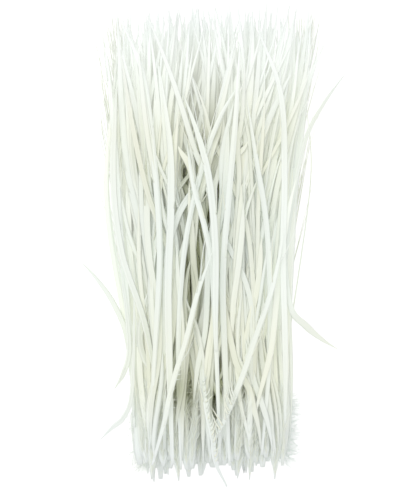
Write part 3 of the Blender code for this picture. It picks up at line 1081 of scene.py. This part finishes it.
def fineGrainGroup():
    numbers = {"Lines across": fineGrain["linesAcross"], "Lines along": fineGrain["linesAlong"]}
    group, given = newGroup("Feather grain", numbers, {}, ("Mask", "Height"), ())
    uv = addNode(group, "ShaderNodeUVMap", {}, uv_map="bladeGrain")
    split = addNode(group, "ShaderNodeSeparateXYZ", {"Vector": uv.outputs["UV"]})
    look = addNode(group, "ShaderNodeAttribute", {}, attribute_name="bladeLook")
    lookSplit = addNode(group, "ShaderNodeSeparateColor", {"Color": look.outputs["Color"]})
    place = {}
    for axis, first, second in (
        ("X", split.outputs["X"], given["Lines across"]),
        ("Y", split.outputs["Y"], given["Lines along"]),
        ("Z", lookSplit.outputs["Green"], fineGrain["seedSpread"]),
    ):
        times = addNode(group, "ShaderNodeMath", {0: first, 1: second}, operation="MULTIPLY")
        place[axis] = times.outputs[0]
    at = addNode(group, "ShaderNodeCombineXYZ", place)
    sockets = {"Scale": 1.0, "Detail": fineGrain["detail"], "Vector": at.outputs["Vector"]}
    lines = addNode(group, "ShaderNodeTexNoise", sockets)
    addNode(group, "NodeGroupOutput", {"Mask": lines.outputs["Fac"], "Height": lines.outputs["Fac"]})
    return group


# Shared effect: the colour of a feather from its own tone and grain, with painted shade deep in the bunch
# and a painted glow at its tips and sides.
featherColours = {
    "Cool white": (0.81, 0.915, 0.85, 1.0),
    "Warm white": (0.87, 0.905, 0.67, 1.0),
    # the olive of the painted shade, also of the dull tone of some strands
    "Painted shade and dull olive": (0.24, 0.270, 0.112, 1.0),
    "Tip white": (0.86, 0.93, 0.90, 1.0),
    "Root white": (0.805, 0.88, 0.845, 1.0),
}
colourMasks = {
    "grainShare": 0.45,
    "tips": (0.72, 0.96),                         # shares of the bunch's length
    "roots": (0.20, 0.06),
    "noLight": (0.0, 0.0, 0.0, 1.0),
    # colour of the painted glow
    "paintedGlow": (1.0, 1.0, 0.97, 1.0),
}


def featherColourGroup():
    outputs = ("Colour", "Painted glow")
    group, given = newGroup("Feather colour", {"Grain": 0.5}, featherColours, (), outputs)
    look = addNode(group, "ShaderNodeAttribute", {}, attribute_name="bladeLook")
    split = addNode(group, "ShaderNodeSeparateColor", {"Color": look.outputs["Color"]})
    sockets = {0: given["Grain"], 1: colourMasks["grainShare"], 2: split.outputs["Green"]}
    tone = addNode(group, "ShaderNodeMath", sockets, operation="MULTIPLY_ADD")
    colour = mixColour(group, tone.outputs[0], given["Cool white"], given["Warm white"])
    for part, white in (("tips", "Tip white"), ("roots", "Root white")):
        start, end = colourMasks[part]
        sockets = {"From Min": start, "From Max": end, "Value": split.outputs["Blue"]}
        mask = addNode(group, "ShaderNodeMapRange", sockets)
        colour = mixColour(group, mask.outputs["Result"], colour, given[white])
    # Painted shade: the olive is mixed in deep in the bunch, and for a strand's own dull tone.
    colour = mixColour(group, split.outputs["Red"], colour, given["Painted shade and dull olive"])
    # Painted glow: emission at the bunch's tips and sides.
    glowColour = mixColour(group, look.outputs["Alpha"], colourMasks["noLight"], colourMasks["paintedGlow"])
    addNode(group, "NodeGroupOutput", {"Colour": colour, "Painted glow": glowColour})
    return group


def featherMaterial(name, settings, grainGroup, colourGroup):
    material = bpy.data.materials.new(name)
    material.use_nodes = True
    tree = material.node_tree
    sockets = {"Lines across": settings["linesAcross"], "Lines along": settings["linesAlong"]}
    grain = addNode(tree, "ShaderNodeGroup", sockets, node_tree=grainGroup)
    mask = grain.outputs["Mask"]
    sockets = {socket: settings[socket] for socket in featherColours if socket in settings}
    colour = addNode(tree, "ShaderNodeGroup", {**sockets, "Grain": mask}, node_tree=colourGroup)
    sockets = {"To Min": settings["smoothest"], "To Max": settings["roughest"], "Value": mask}
    rough = addNode(tree, "ShaderNodeMapRange", sockets)
    sockets = {"Strength": settings["bump"], "Distance": settings["bumpDistance"]}
    bump = addNode(tree, "ShaderNodeBump", {**sockets, "Height": grain.outputs["Height"]})
    shader = tree.nodes["Principled BSDF"]
    tree.links.new(colour.outputs["Colour"], shader.inputs["Base Color"])
    # The painted glow goes in as emission.
    tree.links.new(colour.outputs["Painted glow"], shader.inputs["Emission Color"])
    tree.links.new(rough.outputs["Result"], shader.inputs["Roughness"])
    tree.links.new(bump.outputs["Normal"], shader.inputs["Normal"])
    shader.inputs["Emission Strength"].default_value = settings["paintedGlow"]
    shader.inputs["Sheen Weight"].default_value = settings["sheen"]
    return material


bladeFinish = {
    "linesAcross": 5.0,
    "linesAlong": 45.0,
    "smoothest": 0.38,
    "roughest": 0.62,
    "bump": 0.35,
    "bumpDistance": 0.0002,
    # strength of the painted glow
    "paintedGlow": 0.20,
    "sheen": 0.10,
}
downFinish = {
    "linesAcross": 2.0,
    "linesAlong": 300.0,
    "smoothest": 0.70,
    "roughest": 0.90,
    "bump": 0.10,
    "bumpDistance": 0.0002,
    # strength of the down's painted glow
    "paintedGlow": 0.14,
    "sheen": 0.25,
    "Cool white": (0.81, 0.91, 0.85, 1.0),
    "Warm white": (0.85, 0.90, 0.70, 1.0),
    # the down's olive of painted shade and dull tone
    "Painted shade and dull olive": (0.50, 0.55, 0.32, 1.0),
    "Root white": (0.80, 0.90, 0.86, 1.0),
}
grainGroup = fineGrainGroup()
colourGroup = featherColourGroup()
bladeMaterial = featherMaterial("Feather horn", bladeFinish, grainGroup, colourGroup)
downMaterial = featherMaterial("Feather down", downFinish, grainGroup, colourGroup)
print("materials made")


# Each lock of the upper layers leans and tilts a little as a whole; locks near the sides have
# fewer strands, and those at the sides of the bottom layers have the fringe and the cloud.
lockDress = {
    "drawSeed": 1000,
    "swayLevel": 3,
    "lean": 0.030,
    "tilt": 0.014,
    "sideStart": 0.52,                            # shares of the half width
    "fringeStart": 0.30,
}


def dressLocks():
    for number, lock in enumerate(planLocks()):
        draw = random.Random(lockDress["drawSeed"] + number)
        sway = 1.0 if lock["level"] >= lockDress["swayLevel"] else 0.0
        lock["lean"] = draw.gauss(0.0, lockDress["lean"]) * sway
        lock["tilt"] = draw.gauss(0.0, lockDress["tilt"]) * sway
        build = newBuild()
        side = abs(lock["middle"]) > lockDress["sideStart"]
        for feather in lock["feathers"]:
            places, halves = addMainBlade(build, lock, feather, draw)
            for _ in range(slimStrand["perSideBlade" if side else "perBlade"]):
                addSlimStrand(build, lock, feather, draw)
            addSideBarbs(build, places, halves, draw)
            addDown(build, lock, places, draw)
            if lock["level"] >= tuft["firstLevel"]:
                addTuft(build, places, draw)
        if lock["level"] >= crossStrand["firstLevel"]:
            for _ in range(crossStrand["perSideLock" if side else "perLock"]):
                places, halves = addCrossStrand(build, lock, draw)
                addSideBarbs(build, places, halves, draw)
        for group in shortGroups:
            near = group["leftLock"] < lock["middle"] < group["rightLock"]
            if near and lock["level"] >= group["firstLevel"]:
                for _ in range(group["perLock"]):
                    addShortStrand(build, lock, group, draw)
        bottom = lock["name"].startswith("bottom")
        if bottom and abs(lock["middle"]) > lockDress["fringeStart"]:
            addFringe(build, lock, draw)
            addCloud(build, lock, draw)
        piece = makePiece(lock["name"].replace("lock", "feathers"), build, (bladeMaterial, downMaterial))
        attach(piece, "root")
        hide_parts(lock["name"])


dressLocks()
print("locks dressed")

# Single feathers, laid in this order, first those that stray from the sides and then those on
# top: greatest width, and places in X and Y seen from above, tip first, all in millimetres.
# A slimming is the share of that width that the dressed blade keeps.
looseFeathers = {
    "left_flare_feather": {
        "width": 2.6,
        "slimming": 0.8,
        "sideBarbs": False,
        "shape": {"tipLength": 0.50},
        "places": (
            (-47.7, -5.8), (-40.5, -13.5), (-34.4, -22.0),
            (-29.7, -33.0), (-27.5, -49.0), (-26.8, -67.0),
        ),
    },
    "upper_left_feather": {
        "width": 2.2,
        "slimming": 0.85,
        "places": (
            (-38.5, 77.0), (-35.8, 59.0), (-33.3, 34.0),
            (-31.5, 5.0), (-28.6, -27.5), (-27.0, -63.0),
        ),
    },
    "upper_right_feather": {
        "width": 2.2,
        "slimming": 0.8,
        "places": ((44.0, 77.0), (37.6, 61.0), (32.2, 44.5), (28.6, 28.0), (26.8, 5.0), (26.0, -31.0)),
    },
    "top_stray_feather": {
        "width": 2.2,
        "slimming": 0.7,
        "sideBarbs": False,
        "places": ((52.5, 65.0), (43.0, 52.0), (35.5, 38.0), (31.0, 18.0), (28.0, -8.0), (27.0, -40.0)),
    },
    "right_stray_feather": {
        "width": 2.7,
        "sideBarbs": False,
        "shape": {"tipLength": 0.75, "quillShare": 0.05, "quillLength": 0.36},
        "places": ((28.0, 22.0), (28.0, -6.0), (30.0, -23.0), (35.5, -29.5), (42.0, -35.0), (49.0, -39.5)),
    },
    "left_stray_feather": {
        "width": 2.0,
        "sideBarbs": False,
        "shape": {"tipLength": 0.85, "quillShare": 0.05, "quillLength": 0.24},
        "places": (
            (-31.5, 15.0), (-31.0, -8.0), (-29.0, -28.0),
            (-28.5, -40.0), (-31.0, -48.0), (-35.0, -54.5),
        ),
    },
    "left_low_stray_feather": {
        "width": 2.0,
        "sideBarbs": False,
        "shape": {"tipLength": 0.85, "quillShare": 0.05, "quillLength": 0.28},
        "places": (
            (-26.5, -6.0), (-26.5, -36.0), (-27.5, -55.0),
            (-30.5, -63.0), (-35.5, -68.0), (-40.5, -73.5),
        ),
    },
    "swept_feather": {
        "width": 2.3,
        "places": ((10.0, 73.5), (5.0, 52.0), (0.0, 28.0), (-11.0, 9.0), (-15.0, -14.0), (-15.5, -74.0)),
    },
    "slim_feather": {
        "width": 1.8,
        "places": ((11.5, 57.5), (3.5, 43.0), (-3.0, 23.5), (-8.5, -4.0), (-10.5, -40.0), (-9.5, -81.0)),
    },
    "right_edge_feather": {
        "width": 2.2,
        "places": ((17.5, 77.5), (26.0, 54.0), (27.5, 25.0), (27.0, -5.0), (28.0, -43.0), (28.0, -65.0)),
    },
    "left_long_feather": {
        "width": 2.2,
        "places": (
            (-31.0, 80.5), (-23.0, 60.0), (-19.0, 29.0),
            (-17.0, -2.0), (-18.5, -34.0), (-21.0, -74.0),
        ),
    },
    "left_broad_feather": {
        "width": 2.6,
        "places": (
            (-17.0, 62.0), (-13.5, 36.0), (-13.0, 14.0),
            (-14.0, -16.0), (-13.5, -46.0), (-12.5, -79.0),
        ),
    },
    "right_long_feather": {
        "width": 2.2,
        "places": ((11.5, 72.0), (10.0, 45.0), (7.5, 16.0), (5.5, -12.0), (6.5, -48.0), (8.0, -79.5)),
    },
    "right_leaning_feather": {
        "width": 2.0,
        "places": ((14.0, 52.0), (17.5, 30.0), (21.0, 8.0), (22.5, -18.0), (22.0, -46.0), (19.5, -76.0)),
    },
    "crossing_feather": {
        "width": 1.9,
        "places": ((-8.0, 41.0), (-5.0, 21.0), (-1.0, 6.0), (1.5, -8.0), (3.0, -35.0), (4.5, -77.0)),
    },
    "centre_feather": {
        "width": 2.4,
        "places": ((-8.8, 54.0), (-2.5, 36.0), (1.0, 20.0), (2.7, 0.0), (2.8, -20.0), (3.0, -38.0)),
    },
    "left_diagonal_feather": {
        "width": 1.9,
        "places": (
            (2.0, -2.0), (-3.5, -17.5), (-7.5, -33.5),
            (-12.5, -50.0), (-15.5, -64.0), (-20.0, -80.0),
        ),
    },
    "right_diagonal_feather": {
        "width": 2.0,
        "places": ((27.5, 6.0), (23.5, -14.0), (17.5, -32.0), (13.5, -44.0), (8.0, -58.0), (2.5, -70.0)),
    },
    "low_curved_feather": {
        "width": 1.7,
        "places": ((-1.5, -24.0), (-2.3, -42.0), (-0.5, -58.0), (1.8, -69.0), (3.0, -78.0), (7.0, -87.3)),
    },
}
looseBlade = {
    "drawSeed": 2000,
    "metres": 0.001,                              # in one of the table's millimetres
    "rows": 57,
    "solidRows": 7,                               # rows of a loose feather's own solid
    "rowReach": 0.4,
    "lift": 0.00025,
    "roll": 0.15,
    "shape": {
        "tipShare": 0.04, "tipLength": 0.34, "quillShare": 0.42, "quillLength": 0.26,
        "height": 0.00046, "twist": 0.1, "topPoints": 11, "underPoints": 5, "dull": 0.05, "warmth": 0.2,
    },
}


def pathThrough(points, count):
    ends = [points[0] * 2 - points[1], *points, points[-1] * 2 - points[-2]]
    spans = len(points) - 1
    places = []
    for i in range(count):
        at = min(spans - 1e-9, spans * i / (count - 1))
        k = int(at)
        t = at - k
        a, b, c, d = ends[k:k + 4]
        curve = 2 * b + (c - a) * t + (2 * a - 5 * b + 4 * c - d) * t * t + (3 * b - a - 3 * c + d) * t ** 3
        places.append(curve * 0.5)
    return places


# The height of a loose blade is read off its own solid: the underside of each of its rows.
def solidHeights(node, places):
    last = looseBlade["solidRows"]
    corners = np.array([v.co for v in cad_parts[node].data.vertices])
    line = np.array([(place.x, place.y) for place in places])
    apart = np.linalg.norm(corners[:, None, :2] - line[None, :, :], axis=2)
    nearest = apart.argmin(axis=1) / (len(places) - 1) * last
    near = [np.abs(nearest - row) < looseBlade["rowReach"] for row in range(last + 1)]
    lows = [corners[chosen, 2].min() for chosen in near]
    return np.interp(np.linspace(0.0, last, len(places)), range(last + 1), lows)


# Combs: short stiff barbs in a row on one side of a loose feather; shares run from its quill.
combs = {
    "low_curved_feather": {
        "rows": 6, "from": 0.18, "to": 0.62, "shortest": 0.0022, "longest": 0.0044, "skin": 0,
        "spacing": 0.0018, "width": 0.00070, "angle": 0.80, "spread": 0.20, "side": 1.0,
        "leastLift": 0.0003, "lift": 0.0009,
    },
    "right_diagonal_feather": {
        "rows": 8, "from": 0.01, "to": 0.25, "shortest": 0.0040, "longest": 0.0082, "skin": 0,
        "spacing": 0.0019, "width": 0.00095, "angle": 0.95, "spread": 0.12, "side": -1.0,
        "leastLift": 0.0010, "lift": 0.0020,
    },
    "left_diagonal_feather": {
        "rows": 5, "from": 0.16, "to": 0.50, "shortest": 0.0014, "longest": 0.0036,
        "spacing": 0.0016, "width": 0.00034, "angle": 0.80, "spread": 0.30, "lift": 0.0004, "side": 1.0,
    },
}


def dressLoose():
    for number, (name, plan) in enumerate(looseFeathers.items()):
        draw = random.Random(looseBlade["drawSeed"] + number)
        corners = [Vector((x, y, 0.0)) * looseBlade["metres"] for x, y in plan["places"]]
        places = pathThrough(corners, looseBlade["rows"])
        for place in places:
            place.x += bunch["shiftX"]
            place.y += bunch["shiftY"]
        for place, z in zip(places, solidHeights(name, places)):
            place.z = z + looseBlade["lift"]
        places = [tuple(place) for place in reversed(places)]
        inBunch = plan.get("sideBarbs", True)
        # loose feathers that lie in the bunch get the painted glow
        build = newBuild(glowing=inBunch)
        roll = draw.uniform(-looseBlade["roll"], looseBlade["roll"])
        width = plan["width"] * looseBlade["metres"] * plan.get("slimming", 1.0)
        shape = {**looseBlade["shape"], **plan.get("shape", {})}
        halves = addStrand(build, places, width, shape, roll, draw)
        if inBunch:
            addSideBarbs(build, places, halves, draw)
        if name in combs:
            addBarbRow(build, places, combs[name], (combs[name]["side"],), draw)
        piece = makePiece(name.replace("feather", "blade"), build, (bladeMaterial, downMaterial))
        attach(piece, "root")
        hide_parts(name)


dressLoose()
print("loose feathers dressed:", sum(trianglesMade), "triangles, most in a piece", max(trianglesMade))


# Stage: a plain near-white floor, soft light from all round and a gentle key from the upper left.
stage = {
    "floorHalf": 1.5,
    "floorColour": (0.92, 0.92, 0.92, 1.0),
    "floorRoughness": 0.9,
    "floorGlow": 0.50,                            # lit from below, like a light table
    "skyStrength": 0.70,
    "keyPlace": (-0.30, 0.26, 0.84),
    "keySize": 0.70,
    "keyPower": 3.1,
    "lightColour": (1.0, 1.0, 1.0, 1.0),
}


def makeStage():
    mesh = bpy.data.meshes.new("floor")
    half = stage["floorHalf"]
    corners = [(-half, -half, 0.0), (half, -half, 0.0), (half, half, 0.0), (-half, half, 0.0)]
    mesh.from_pydata(corners, [], [(0, 1, 2, 3)])
    floor = bpy.data.objects.new("floor", mesh)
    bpy.context.scene.collection.objects.link(floor)
    material = bpy.data.materials.new("Pale floor")
    material.use_nodes = True
    shader = material.node_tree.nodes["Principled BSDF"]
    shader.inputs["Base Color"].default_value = stage["floorColour"]
    shader.inputs["Roughness"].default_value = stage["floorRoughness"]
    shader.inputs["Emission Color"].default_value = stage["lightColour"]
    shader.inputs["Emission Strength"].default_value = stage["floorGlow"]
    mesh.materials.append(material)
    world = bpy.data.worlds.new("Soft studio")
    world.use_nodes = True
    sky = world.node_tree.nodes["Background"]
    sky.inputs["Color"].default_value = stage["lightColour"]
    sky.inputs["Strength"].default_value = stage["skyStrength"]
    bpy.context.scene.world = world
    lamp = bpy.data.lights.new("key", "AREA")
    lamp.shape = "DISK"
    lamp.size = stage["keySize"]
    lamp.energy = stage["keyPower"]
    key = bpy.data.objects.new("key", lamp)
    key.location = stage["keyPlace"]
    key.rotation_mode = "QUATERNION"
    key.rotation_quaternion = (-key.location).to_track_quat("-Z", "Y")
    bpy.context.scene.collection.objects.link(key)


# Camera: straight above, with the photograph's frame, 415 by 488 pixels at 0.36 mm a pixel.
camera = {
    "metresPerPixel": 0.00036,
    "framePixels": 488,
    "lens": 85.0,
    "sensor": 36.0,
    "focusHeight": 0.015,
    "centre": (-0.0024, -0.0002),
    "clipStart": 0.01,
    "gamma": 1.80,                                # a high-key exposure with open shadows
}


def makeCamera():
    lens = bpy.data.cameras.new("camera")
    lens.lens = camera["lens"]
    lens.sensor_width = camera["sensor"]
    distance = camera["metresPerPixel"] * camera["framePixels"] * camera["lens"] / camera["sensor"]
    lens.clip_start = camera["clipStart"]
    eye = bpy.data.objects.new("camera", lens)
    eye.location = (*camera["centre"], camera["focusHeight"] + distance)
    bpy.context.scene.collection.objects.link(eye)
    bpy.context.scene.camera = eye
    bpy.context.scene.view_settings.view_transform = "Standard"
    bpy.context.scene.view_settings.gamma = camera["gamma"]


makeStage()
makeCamera()
print("stage, light and camera set")
